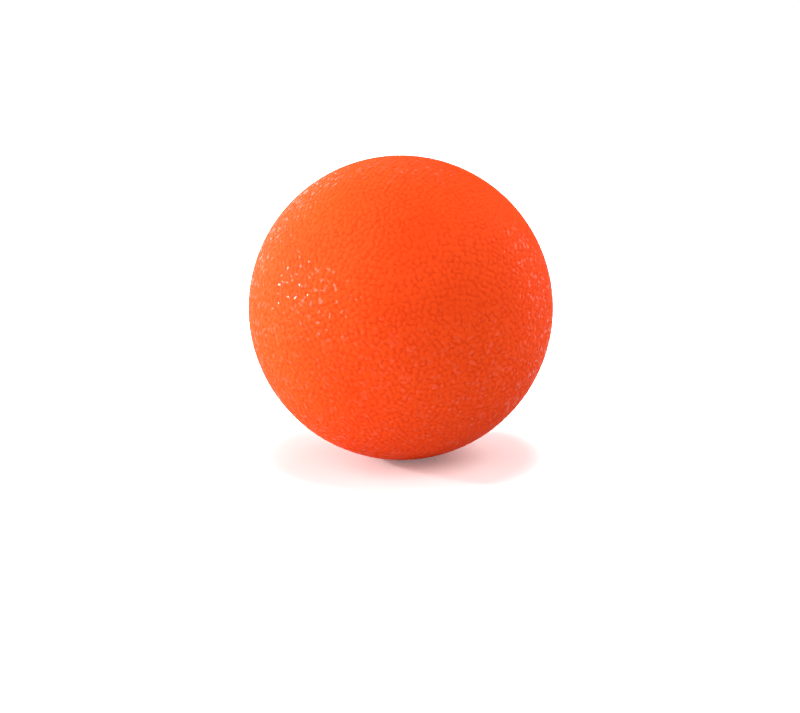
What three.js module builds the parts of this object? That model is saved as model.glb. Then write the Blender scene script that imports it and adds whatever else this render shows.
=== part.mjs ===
// Massage ball, 63 mm, moulded rubber.
//
// The ball is built the way a cored rubber ball is moulded: a round core, and two cup-shaped
// halves of cover rubber that are pressed and cured round it in a two-part mould. The halves
// meet at a parting line round the ball's middle.
//
// Frame: millimetres, +Z up. The origin is the point the ball rests on, so its centre stands
// straight above the origin. The parting plane is upright and faces along Y: the rear half
// lies on the +Y side of it and the front half on the -Y side.

import * as THREE from "three";

// Driving dimensions, in millimetres
const ballDiameter = 63; // over the crests of the moulded grain
const coverWall = 6; // thickness of each cover half, from its outer face to its hollow
const bondGap = 0.3; // between the core and the hollow of the cover, filled by the cure bond
const partingGap = 0.3; // between the rims of the two cover halves
const rimBreak = 0.25; // small flat that takes the sharp edge off each rim

// Fineness of the facets
const turnSegments = 48; // round the ball's parting line, a multiple of four
const arcSegments = 12; // from the parting line to a half's pole

// Sizes that follow from the driving ones
const ballRadius = ballDiameter / 2;
const hollowRadius = ballRadius - coverWall;
const coreRadius = hollowRadius - bondGap;
const rimHeight = partingGap / 2;

// Finishes
const coverRubber = new THREE.MeshStandardMaterial({
  color: new THREE.Color(0.93, 0.35, 0.12),
  roughness: 0.45,
  metalness: 0,
});
const coreRubber = new THREE.MeshStandardMaterial({
  color: new THREE.Color(0.62, 0.47, 0.33),
  roughness: 0.85,
  metalness: 0,
});

// A point on a circle about the ball's centre, as (distance from the Y axis, height along Y)
function circlePoint(radius, angle) {
  return new THREE.Vector2(radius * Math.cos(angle), radius * Math.sin(angle));
}

// The circle's points from one angle to another, both ends included
function arcPoints(radius, fromAngle, toAngle, steps) {
  const points = [];
  for (let step = 0; step <= steps; step += 1) {
    const angle = fromAngle + ((toAngle - fromAngle) * step) / steps;
    points.push(circlePoint(radius, angle));
  }
  return points;
}

// Where a circle of this radius stands at this height above the parting plane
function angleAtHeight(radius, height) {
  return Math.asin(height / radius);
}

// Puts an arc's last point exactly on the Y axis, so that the turned shape closes there
function closeOnAxis(points) {
  points[points.length - 1].x = 0;
  return points;
}

// One half of the cover: a round cup with its pole on +Y and its flat rim facing the other half
function coverHalfGeometry() {
  const pole = Math.PI / 2;
  const outerStart = angleAtHeight(ballRadius, rimHeight + rimBreak);
  const innerStart = angleAtHeight(hollowRadius, rimHeight);
  const outer = closeOnAxis(arcPoints(ballRadius, outerStart, pole, arcSegments));
  const inner = closeOnAxis(arcPoints(hollowRadius, innerStart, pole, arcSegments));
  const rimEdge = new THREE.Vector2(outer[0].x - rimBreak, rimHeight);
  const profile = [...inner.reverse(), rimEdge, ...outer];
  return new THREE.LatheGeometry(profile, turnSegments);
}

// The solid core, turned about the same Y axis
function coreGeometry() {
  const pole = Math.PI / 2;
  const profile = closeOnAxis(arcPoints(coreRadius, -pole, pole, 2 * arcSegments));
  profile[0].x = 0;
  return new THREE.LatheGeometry(profile, turnSegments);
}

// A named piece whose own origin is the ball's centre
function pieceAtCentre(name, geometry, material) {
  const piece = new THREE.Mesh(geometry, material);
  piece.name = name;
  piece.position.set(0, 0, ballRadius);
  return piece;
}

function makeCore() {
  return pieceAtCentre("core", coreGeometry(), coreRubber);
}

function makeRearCoverHalf() {
  return pieceAtCentre("rear_cover_half", coverHalfGeometry(), coverRubber);
}

// The same moulding as the rear half, turned half way round the upright axis
function makeFrontCoverHalf() {
  const half = pieceAtCentre("front_cover_half", coverHalfGeometry(), coverRubber);
  half.rotation.z = Math.PI;
  return half;
}

const massageBall = new THREE.Group();
massageBall.name = "massage_ball";
massageBall.add(makeCore(), makeFrontCoverHalf(), makeRearCoverHalf());

export default massageBall;
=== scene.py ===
# Massage ball: a buffed rubber core inside two moulded cover halves with a fine leather-like grain.
# Works in metres, in the same frame as the CAD: the ball rests on the origin and +Z is up.
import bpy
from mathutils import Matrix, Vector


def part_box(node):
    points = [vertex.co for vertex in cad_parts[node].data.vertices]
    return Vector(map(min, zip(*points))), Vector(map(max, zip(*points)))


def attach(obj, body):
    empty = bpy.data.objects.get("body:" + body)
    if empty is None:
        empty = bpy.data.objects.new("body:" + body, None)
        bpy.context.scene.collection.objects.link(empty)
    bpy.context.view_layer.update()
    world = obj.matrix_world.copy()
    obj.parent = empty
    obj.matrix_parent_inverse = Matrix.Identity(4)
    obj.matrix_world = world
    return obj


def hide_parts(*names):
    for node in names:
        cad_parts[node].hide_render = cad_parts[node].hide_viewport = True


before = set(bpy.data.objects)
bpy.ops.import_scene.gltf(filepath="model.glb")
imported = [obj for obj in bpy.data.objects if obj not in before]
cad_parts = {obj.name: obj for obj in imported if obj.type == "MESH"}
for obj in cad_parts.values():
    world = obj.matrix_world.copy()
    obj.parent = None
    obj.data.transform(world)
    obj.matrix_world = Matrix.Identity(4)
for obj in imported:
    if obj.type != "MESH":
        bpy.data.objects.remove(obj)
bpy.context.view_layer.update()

import math
import random
import bmesh
import bpy
from mathutils import Matrix, Vector, kdtree, noise

mm = 0.001


def readBall():
    frontLow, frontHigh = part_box("front_cover_half")
    rearLow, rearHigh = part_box("rear_cover_half")
    coreLow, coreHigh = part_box("core")
    return {
        "centre": Vector(((frontLow.x + frontHigh.x) / 2, (coreLow.y + coreHigh.y) / 2, (coreLow.z + coreHigh.z) / 2)),
        "radius": min(frontHigh.x - frontLow.x, rearHigh.y - frontLow.y) / 2,
        "coreRadius": (coreHigh.x - coreLow.x) / 2,
    }


ball = readBall()


# A ball of nearly equal squares: a cube cut into a fine grid and blown up to a radius of 1
def gridBall(squaresAcross):
    bm = bmesh.new()
    bmesh.ops.create_cube(bm, size=2)
    bmesh.ops.subdivide_edges(bm, edges=bm.edges[:], cuts=squaresAcross - 1, use_grid_fill=True)
    for vert in bm.verts:
        vert.co = Vector([math.tan(part * math.pi / 4) for part in vert.co]).normalized()
    return bm


# Keeps the half of a ball that lies on one side of the upright parting plane
def keepHalf(bm, side):
    everything = bm.verts[:] + bm.edges[:] + bm.faces[:]
    bmesh.ops.bisect_plane(
        bm, geom=everything, dist=1e-5, plane_co=(0, 0, 0), plane_no=(0, side, 0), clear_inner=True
    )


def rimEdges(bm):
    return [edge for edge in bm.edges if edge.is_boundary]


# Moves the mesh to the ball's centre and makes it an object at the origin
def pieceFrom(bm, name, material):
    bmesh.ops.translate(bm, verts=bm.verts, vec=ball["centre"])
    mesh = bpy.data.meshes.new(name)
    bm.to_mesh(mesh)
    bm.free()
    mesh.materials.append(material)
    mesh.shade_smooth()
    piece = bpy.data.objects.new(name, mesh)
    bpy.context.scene.collection.objects.link(piece)
    return piece


coverHalf = {
    "squaresAcross": 178,        # outer face: about 0.28 mm a square
    "hollowSquaresAcross": 24,   # the hollow is hidden, so it is coarse
    "bondGap": 0.3 * mm,
    "seamGap": 0.01 * mm,        # each rim stops this far from the parting plane
    "rimRound": 0.1 * mm,
    "grainPitch": 1.3 * mm,      # from one pebble of the grain to the next
    "grainDepth": 0.18 * mm,
    "grainScatter": 0.4 * mm,    # how far a pebble may lie from its even place
    "grainBend": 0.3 * mm,       # how far the pebbles are pulled out of round
    "creaseWidth": 0.46 * mm,
    "grainSeed": 5,
    "trimBand": 0.25 * mm,       # beside the parting line, where the grain was trimmed away
    "trimFade": 0.7 * mm,
}


def smoothStep(low, high, value):
    share = min(1.0, max(0.0, (value - low) / (high - low)))
    return share * share * (3 - 2 * share)


# The middles of the grain's pebbles: a spiral of even spacing round the ball, then scattered a little
def scatterPebbles():
    dice = random.Random(coverHalf["grainSeed"])
    radius = ball["radius"]
    count = round(4 * math.pi * radius ** 2 / (coverHalf["grainPitch"] ** 2 * math.sin(math.pi / 3)))
    goldenTurn = math.pi * (3 - math.sqrt(5))
    pebbles = kdtree.KDTree(count)
    for number in range(count):
        height = 1 - (2 * number + 1) / count
        reach = math.sqrt(1 - height ** 2)
        turn = number * goldenTurn
        even = Vector((reach * math.cos(turn), height, reach * math.sin(turn))) * radius
        stray = Vector([dice.uniform(-1, 1) for axis in range(3)]) * coverHalf["grainScatter"]
        pebbles.insert(even + stray, number)
    pebbles.balance()
    return pebbles


pebbles = scatterPebbles()


# Height of the moulded grain at a point, from 0 in a crease to 1 on the crown of a pebble
def grainHeight(point):
    pitch = coverHalf["grainPitch"]
    bent = point + noise.noise_vector(point / pitch * 1.3) * coverHalf["grainBend"]
    nearest, nextNearest = [found[2] for found in pebbles.find_n(bent, 2)]
    crease = 1 - smoothStep(0.0, coverHalf["creaseWidth"], nextNearest - nearest)
    opened = smoothStep(-0.3, 0.3, noise.noise(point / pitch * 2.0 + Vector((7, 3, 1))))
    crown = 1 - 0.35 * min(1.0, nearest / pitch * 1.3)
    return (1 - crease * (0.3 + 0.7 * opened)) * crown


def makeCoverHalf(name, side, material):
    bm = gridBall(coverHalf["squaresAcross"])
    keepHalf(bm, side)
    grain = bm.verts.layers.float.new("grain")
    radius = ball["radius"]
    for vert in bm.verts:
        direction = vert.co.copy()
        height = grainHeight(direction * radius)
        away = smoothStep(coverHalf["trimBand"], coverHalf["trimFade"], abs(direction.y) * radius)
        height = 0.75 + (height - 0.75) * away
        vert[grain] = height
        vert.co = direction * (radius - coverHalf["grainDepth"] * (1 - height))
    outerRim = rimEdges(bm)

    hollow = gridBall(coverHalf["hollowSquaresAcross"])
    keepHalf(hollow, side)
    bmesh.ops.scale(hollow, verts=hollow.verts, vec=[ball["coreRadius"] + coverHalf["bondGap"]] * 3)
    bmesh.ops.reverse_faces(hollow, faces=hollow.faces)
    hollowMesh = bpy.data.meshes.new("hollow")
    hollow.to_mesh(hollowMesh)
    hollow.free()
    bm.from_mesh(hollowMesh)
    bpy.data.meshes.remove(hollowMesh)

    for vert in bm.verts:
        if vert.is_boundary:
            vert.co.y = side * coverHalf["seamGap"]
    bmesh.ops.bridge_loops(bm, edges=rimEdges(bm))
    outerRim = [edge for edge in outerRim if edge.is_valid]
    bmesh.ops.bevel(
        bm, geom=outerRim, affect="EDGES", offset=coverHalf["rimRound"], offset_type="OFFSET",
        segments=2, profile=0.5, material=-1, clamp_overlap=True
    )
    bmesh.ops.recalc_face_normals(bm, faces=bm.faces)
    return pieceFrom(bm, name, material)


core = {
    "squaresAcross": 60,
    "buffPitch": 1.6 * mm,
    "buffDepth": 0.05 * mm,
}


def makeCore(material):
    bm = gridBall(core["squaresAcross"])
    for vert in bm.verts:
        rough = noise.noise(vert.co * (ball["coreRadius"] / core["buffPitch"]))
        vert.co *= ball["coreRadius"] - core["buffDepth"] * (0.5 + 0.5 * rough)
    return pieceFrom(bm, "buffed_core", material)


def newMaterial(name):
    material = bpy.data.materials.new(name)
    material.use_nodes = True
    tree = material.node_tree
    return material, tree, tree.nodes["Principled BSDF"]


# Adds a node, sets its plain properties and values, and links what feeds it
def addNode(tree, kind, properties=None, values=None, links=None):
    node = tree.nodes.new(kind)
    for name, value in (properties or {}).items():
        setattr(node, name, value)
    for name, value in (values or {}).items():
        node.inputs[name].default_value = value
    for name, source in (links or {}).items():
        tree.links.new(source, node.inputs[name])
    return node


# Runs a value from one range to another, with soft ends
def softRange(tree, source, fromLow, fromHigh, toLow=0.0, toHigh=1.0):
    node = addNode(
        tree, "ShaderNodeMapRange", {"interpolation_type": "SMOOTHSTEP"},
        {"From Min": fromLow, "From Max": fromHigh, "To Min": toLow, "To Max": toHigh},
        {"Value": source},
    )
    return node.outputs["Result"]


def mixColours(tree, factor, first, second, blend="MIX"):
    node = addNode(tree, "ShaderNodeMix", {"data_type": "RGBA", "blend_type": blend})
    for socket, value in ((node.inputs[0], factor), (node.inputs[6], first), (node.inputs[7], second)):
        if isinstance(value, bpy.types.NodeSocket):
            tree.links.new(value, socket)
        else:
            socket.default_value = value
    return node.outputs[2]


def doMath(tree, operation, first, second=0.0):
    node = addNode(tree, "ShaderNodeMath", {"operation": operation})
    for socket, value in zip(node.inputs, (first, second)):
        if isinstance(value, bpy.types.NodeSocket):
            tree.links.new(value, socket)
        else:
            socket.default_value = value
    return node.outputs[0]


def newGroup(name, inputs, outputs):
    group = bpy.data.node_groups.new(name, "ShaderNodeTree")
    for label, kind, value in inputs:
        socket = group.interface.new_socket(label, in_out="INPUT", socket_type=kind)
        if value is not None:
            socket.default_value = value
    for label, kind in outputs:
        group.interface.new_socket(label, in_out="OUTPUT", socket_type=kind)
    return group, group.nodes.new("NodeGroupInput"), group.nodes.new("NodeGroupOutput")


# The skin that any moulded rubber has: a fine matte tooth, a few pin-holes, and slow drifts in both
def makeRubberSkin():
    group, given, result = newGroup(
        "rubberSkin",
        [("Place", "NodeSocketVector", None), ("Tooth Size", "NodeSocketFloat", 0.2), ("Pits", "NodeSocketFloat", 0.3)],
        [("Height", "NodeSocketFloat"), ("Polish", "NodeSocketFloat")],
    )
    finer = doMath(group, "DIVIDE", 1.0, given.outputs["Tooth Size"])
    tooth = addNode(
        group, "ShaderNodeTexNoise", None, {"Detail": 3.0, "Roughness": 0.62},
        {"Vector": given.outputs["Place"], "Scale": finer},
    )
    pinholes = addNode(
        group, "ShaderNodeTexVoronoi", None, {"Scale": 0.9, "Randomness": 1.0}, {"Vector": given.outputs["Place"]}
    )
    pit = softRange(group, pinholes.outputs["Distance"], 0.03, 0.09, 1.0, 0.0)
    drift = addNode(
        group, "ShaderNodeTexNoise", None, {"Scale": 0.11, "Detail": 2.0}, {"Vector": given.outputs["Place"]}
    )
    deep = doMath(group, "MULTIPLY", pit, given.outputs["Pits"])
    height = doMath(group, "SUBTRACT", tooth.outputs[0], deep)
    polish = doMath(group, "ADD", softRange(group, drift.outputs[0], 0.35, 0.65, 0.0, 0.6),
                    softRange(group, tooth.outputs[0], 0.4, 0.7, 0.0, 0.4))
    group.links.new(height, result.inputs["Height"])
    group.links.new(polish, result.inputs["Polish"])
    return group


# Pigment that isn't stirred in quite evenly: broad clouds and fine specks of a second shade
def makePigment():
    group, given, result = newGroup(
        "stirredPigment",
        [("Place", "NodeSocketVector", None), ("Colour", "NodeSocketColor", (1, 1, 1, 1)),
         ("Second Shade", "NodeSocketColor", (0, 0, 0, 1)), ("Cloud Size", "NodeSocketFloat", 12.0),
         ("Amount", "NodeSocketFloat", 0.3)],
        [("Colour", "NodeSocketColor")],
    )
    broader = doMath(group, "DIVIDE", 1.0, given.outputs["Cloud Size"])
    clouds = addNode(
        group, "ShaderNodeTexNoise", None, {"Detail": 4.0, "Roughness": 0.55, "Distortion": 0.4},
        {"Vector": given.outputs["Place"], "Scale": broader},
    )
    specks = addNode(
        group, "ShaderNodeTexNoise", None, {"Scale": 3.1, "Detail": 2.0}, {"Vector": given.outputs["Place"]}
    )
    cloud = softRange(group, clouds.outputs[0], 0.3, 0.7)
    speck = softRange(group, specks.outputs[0], 0.62, 0.75, 0.0, 0.5)
    share = doMath(group, "MULTIPLY", doMath(group, "MAXIMUM", cloud, speck), given.outputs["Amount"])
    colour = mixColours(group, share, given.outputs["Colour"], given.outputs["Second Shade"])
    group.links.new(colour, result.inputs["Colour"])
    return group


rubberSkin = makeRubberSkin()
stirredPigment = makePigment()


# Object coordinates counted in millimetres from the ball's centre
def placeInBall(tree):
    coordinates = addNode(tree, "ShaderNodeTexCoord")
    mapping = addNode(
        tree, "ShaderNodeMapping", None,
        {"Location": -ball["centre"] / mm, "Scale": (1 / mm, 1 / mm, 1 / mm)},
        {"Vector": coordinates.outputs["Object"]},
    )
    return mapping.outputs["Vector"]


coverFinish = {
    "colour": (0.95, 0.077, 0.0104, 1),
    "shade": (0.9, 0.062, 0.008, 1),          # second shade of the pigment
    "creaseShadeColour": (0.8, 0.046, 0.006, 1),   # painted shade where the grain is deep
    "seamColour": (0.93, 0.08, 0.012, 1),    # cut rubber along the parting line
    "crestRoughness": 0.62,
    "creaseRoughness": 0.72,
    "specular": 0.04,
    "crestCoat": 0.55,                        # the few crowns that handling has rubbed shiny
    "coatRoughness": 0.1,
    "toothSize": 0.16,                        # mm
    "toothHeight": 0.012,                     # mm
}


def makeCoverRubber():
    finish = coverFinish
    material, tree, shader = newMaterial("coverRubber")
    place = placeInBall(tree)
    grain = addNode(tree, "ShaderNodeAttribute", {"attribute_name": "grain"}).outputs["Fac"]
    skin = addNode(
        tree, "ShaderNodeGroup", {"node_tree": rubberSkin},
        {"Tooth Size": finish["toothSize"], "Pits": 0.5}, {"Place": place},
    )
    pigment = addNode(
        tree, "ShaderNodeGroup", {"node_tree": stirredPigment},
        {"Colour": finish["colour"], "Second Shade": finish["shade"], "Cloud Size": 14.0, "Amount": 0.6},
        {"Place": place},
    )
    # Painted shade: the grain's creases are darkened towards a deeper orange
    crease = softRange(tree, grain, 0.2, 0.8, 0.65, 0.0)
    creaseShaded = mixColours(tree, crease, pigment.outputs["Colour"], finish["creaseShadeColour"])
    split = addNode(tree, "ShaderNodeSeparateXYZ", None, None, {"Vector": place})
    fromSeam = doMath(tree, "ABSOLUTE", split.outputs["Y"])
    seam = softRange(tree, fromSeam, 0.15, 0.45, 1.0, 0.0)
    colour = mixColours(tree, seam, creaseShaded, finish["seamColour"])
    rough = softRange(tree, grain, 0.1, 0.9, finish["creaseRoughness"], finish["crestRoughness"])
    worn = doMath(tree, "SUBTRACT", rough, doMath(tree, "MULTIPLY", skin.outputs["Polish"], 0.07))
    roughness = doMath(tree, "ADD", worn, doMath(tree, "MULTIPLY", seam, 0.12))
    rubbed = addNode(tree, "ShaderNodeTexNoise", None, {"Scale": 0.9, "Detail": 0.0}, {"Vector": place})
    shine = softRange(tree, rubbed.outputs[0], 0.6, 0.65, 0.0, finish["crestCoat"])
    coat = doMath(tree, "MULTIPLY", shine, softRange(tree, grain, 0.4, 0.7))
    bump = addNode(
        tree, "ShaderNodeBump", None, {"Strength": 1.0, "Distance": finish["toothHeight"] * mm},
        {"Height": skin.outputs["Height"]},
    )
    tree.links.new(colour, shader.inputs["Base Color"])
    tree.links.new(roughness, shader.inputs["Roughness"])
    tree.links.new(coat, shader.inputs["Coat Weight"])
    tree.links.new(bump.outputs["Normal"], shader.inputs["Normal"])
    shader.inputs["Specular IOR Level"].default_value = finish["specular"]
    shader.inputs["Coat Roughness"].default_value = finish["coatRoughness"]
    return material


coreFinish = {
    "colour": (0.34, 0.19, 0.09, 1),
    "shade": (0.24, 0.125, 0.055, 1),
    "roughness": 0.82,
    "toothSize": 0.45,
    "toothHeight": 0.05,
}


def makeCoreRubber():
    finish = coreFinish
    material, tree, shader = newMaterial("coreRubber")
    place = placeInBall(tree)
    skin = addNode(
        tree, "ShaderNodeGroup", {"node_tree": rubberSkin},
        {"Tooth Size": finish["toothSize"], "Pits": 1.0}, {"Place": place},
    )
    pigment = addNode(
        tree, "ShaderNodeGroup", {"node_tree": stirredPigment},
        {"Colour": finish["colour"], "Second Shade": finish["shade"], "Cloud Size": 9.0, "Amount": 0.9},
        {"Place": place},
    )
    roughness = softRange(tree, skin.outputs["Polish"], 0.0, 1.0, finish["roughness"], finish["roughness"] - 0.15)
    bump = addNode(
        tree, "ShaderNodeBump", None, {"Strength": 1.0, "Distance": finish["toothHeight"] * mm},
        {"Height": skin.outputs["Height"]},
    )
    tree.links.new(pigment.outputs["Colour"], shader.inputs["Base Color"])
    tree.links.new(roughness, shader.inputs["Roughness"])
    tree.links.new(bump.outputs["Normal"], shader.inputs["Normal"])
    return material


coverRubber = makeCoverRubber()
coreRubber = makeCoreRubber()

frontHalf = makeCoverHalf("grained_front_half", -1, coverRubber)
print("front cover half:", len(frontHalf.data.polygons), "faces")
rearHalf = makeCoverHalf("grained_rear_half", 1, coverRubber)
print("rear cover half:", len(rearHalf.data.polygons), "faces")
buffedCore = makeCore(coreRubber)
print("core:", len(buffedCore.data.polygons), "faces")

for piece, node, finish in (
    (frontHalf, "front_cover_half", "cover_rubber"),
    (rearHalf, "rear_cover_half", "cover_rubber"),
    (buffedCore, "core", "core_rubber"),
):
    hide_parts(node)
    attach(piece, "root")


studio = {
    "floorRadius": 3.0,
    "floorWhite": 0.82,
    "floorBounce": 0.62,     # how white the floor is to the light that it throws back up
    "shadowLift": (0.26, 0.16, 0.155, 1),  # painted warm glow in the shadow, seen only by the camera
    "liftStart": -0.03,      # the painted glow grows from left to right between these places
    "liftEnd": 0.01,
    "whiteStart": 0.026,     # past the soft shadow the floor's painted glow runs out to plain white
    "whiteEnd": 0.038,
    "lens": 100,             # mm, on a 36 mm sensor
    "sensor": 36,
    "distance": 0.4601,
    "elevation": 12.6,       # degrees above the horizon
    "aimBelow": 1.254,       # degrees: the ball sits a little above the picture's middle
    "aimLeft": 0.02,
}

# Softboxes round the ball: name, azimuth and elevation in degrees, size in metres, power in watts,
# and whether the ball's sheen shows it. Azimuth 0 is the camera's side and 90 is on its right
softboxes = [
    ("leftFrontPanel", -60, 12, 0.42, 3.8, True),
    ("leftPanel", -90, 12, 0.42, 0.7, False),
    ("leftBackPanel", -120, 12, 0.42, 3.0, False),
    ("backPanel", -150, 12, 0.42, 2.0, True),
    ("rightBackPanel", 120, 12, 0.42, 1.2, True),
    ("leftBox", -90, 42, 0.42, 1.7, False),
    ("frontBox", 0, 42, 0.42, 1.4, False),
    ("rightFrontBox", 60, 42, 0.42, 1.3, False),
    ("rightBox", 90, 42, 0.42, 1.4, False),
    ("rightPanel", 90, 12, 0.42, 0.35, False),
    ("rightBackBox", 120, 42, 0.42, 1.5, False),
    ("backBox", 180, 42, 0.42, 0.7, True),
    ("backTopBox", -135, 68, 0.42, 1.3, False),
    ("overheadBox", 0, 90, 0.42, 1.9, False),
    ("keyPanel", -97, 14, 0.2, 1.8, False),
    ("keyLamp", -97, 14, 0.035, 4.6, True),
]


def makeFloor():
    bm = bmesh.new()
    bmesh.ops.create_circle(bm, cap_ends=True, segments=128, radius=studio["floorRadius"])
    mesh = bpy.data.meshes.new("floor")
    bm.to_mesh(mesh)
    bm.free()
    material, tree, shader = newMaterial("floorWhite")
    # Painted light: to the camera only, the floor glows warm in the ball's shadow, more on the right, and plain white
    # past it
    coordinates = addNode(tree, "ShaderNodeTexCoord")
    away = addNode(tree, "ShaderNodeVectorMath", {"operation": "LENGTH"}, None, {0: coordinates.outputs["Object"]})
    lightPath = addNode(tree, "ShaderNodeLightPath")
    seen = lightPath.outputs["Is Camera Ray"]
    runOut = softRange(tree, away.outputs["Value"], studio["whiteStart"], studio["whiteEnd"])
    split = addNode(tree, "ShaderNodeSeparateXYZ", None, None, {"Vector": coordinates.outputs["Object"]})
    rightward = softRange(tree, split.outputs["X"], studio["liftStart"], studio["liftEnd"])
    lift = mixColours(tree, rightward, (0, 0, 0, 1), studio["shadowLift"])
    white = mixColours(tree, runOut, lift, (1, 1, 1, 1))
    light = mixColours(tree, seen, (0, 0, 0, 1), white)
    floorColour = mixColours(tree, seen, (studio["floorBounce"],) * 3 + (1,), (studio["floorWhite"],) * 3 + (1,))
    tree.links.new(light, shader.inputs["Emission Color"])
    tree.links.new(floorColour, shader.inputs["Base Color"])
    shader.inputs["Emission Strength"].default_value = 1.0
    shader.inputs["Roughness"].default_value = 0.6
    shader.inputs["Specular IOR Level"].default_value = 0.0
    mesh.materials.append(material)
    floor = bpy.data.objects.new("floor", mesh)
    bpy.context.scene.collection.objects.link(floor)
    return floor


def makeCamera():
    data = bpy.data.cameras.new("camera")
    data.lens = studio["lens"]
    data.sensor_width = studio["sensor"]
    data.clip_start = 0.01
    camera = bpy.data.objects.new("camera", data)
    bpy.context.scene.collection.objects.link(camera)
    rise = math.radians(studio["elevation"])
    offset = Vector((0, -math.cos(rise), math.sin(rise))) * studio["distance"]
    turn = Matrix.Rotation(math.radians(studio["aimLeft"]), 4, "Z")
    tilt = Matrix.Rotation(math.radians(90 - studio["elevation"] - studio["aimBelow"]), 4, "X")
    camera.matrix_world = Matrix.Translation(ball["centre"] + offset) @ turn @ tilt
    return camera


# A square softbox that faces the ball from a distance of 0.8 m
def makeSoftbox(name, azimuth, elevation, size, power, sheen, distance=0.8):
    data = bpy.data.lights.new(name, "AREA")
    data.shape = "SQUARE"
    data.size = size
    data.energy = power
    light = bpy.data.objects.new(name, data)
    bpy.context.scene.collection.objects.link(light)
    turn = math.radians(azimuth)
    rise = math.radians(elevation)
    away = Vector((math.sin(turn) * math.cos(rise), -math.cos(turn) * math.cos(rise), math.sin(rise)))
    light.location = ball["centre"] + away * distance
    light.rotation_euler = away.to_track_quat("Z", "Y").to_euler()
    light.visible_camera = False
    light.visible_glossy = sheen
    return light


# White to the camera, dark to the ball, so that only the softboxes light it
def makeWorld():
    world = bpy.data.worlds.new("studio")
    world.use_nodes = True
    tree = world.node_tree
    lightPath = addNode(tree, "ShaderNodeLightPath")
    seen = mixColours(tree, lightPath.outputs["Is Camera Ray"], (0, 0, 0, 1), (1, 1, 1, 1))
    tree.links.new(seen, tree.nodes["Background"].inputs["Color"])
    bpy.context.scene.world = world


makeFloor()
bpy.context.scene.camera = makeCamera()
for settings in softboxes:
    makeSoftbox(*settings)
makeWorld()
bpy.context.scene.view_settings.view_transform = "Standard"
print("studio ready")
